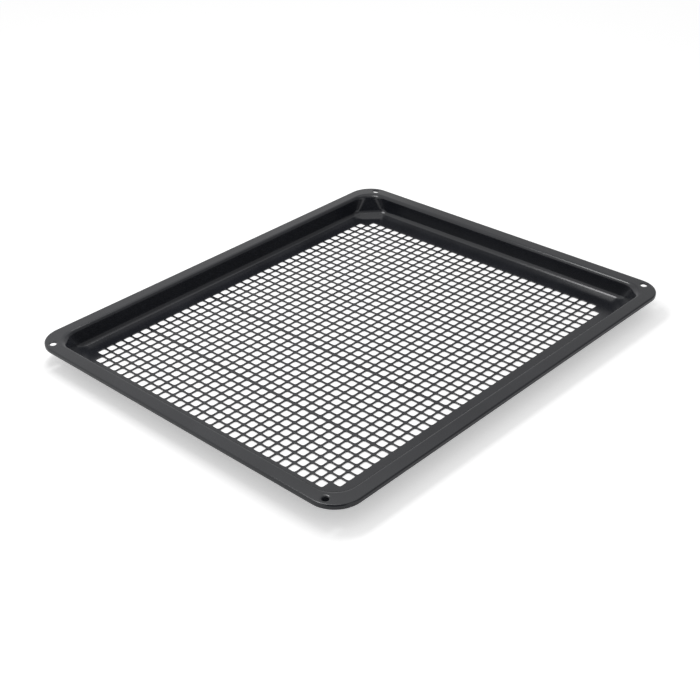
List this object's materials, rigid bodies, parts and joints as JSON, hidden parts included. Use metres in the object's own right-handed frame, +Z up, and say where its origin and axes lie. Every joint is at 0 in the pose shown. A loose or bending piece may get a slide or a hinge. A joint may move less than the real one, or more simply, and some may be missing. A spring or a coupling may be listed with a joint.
{
  "type": "air fryer baking tray",
  "caption": "Shallow rectangular oven tray pressed from one enamelled steel sheet, with a folded rim, leaning corners, a gentle slope inside its walls and a floor of square air holes.",
  "frame": {"origin": "middle of the tray's outline, on the underside of the floor that it stands on", "axes": "+X along the long side, +Y along the short side, +Z up out of the open well"},
  "size_m": [0.445, 0.375, 0.022],
  "materials": {
    "enamel": "semi-gloss vitreous enamel"
  },
  "bodies": {
    "root": {"tray": "enamel"}
  },
  "joints": []
}
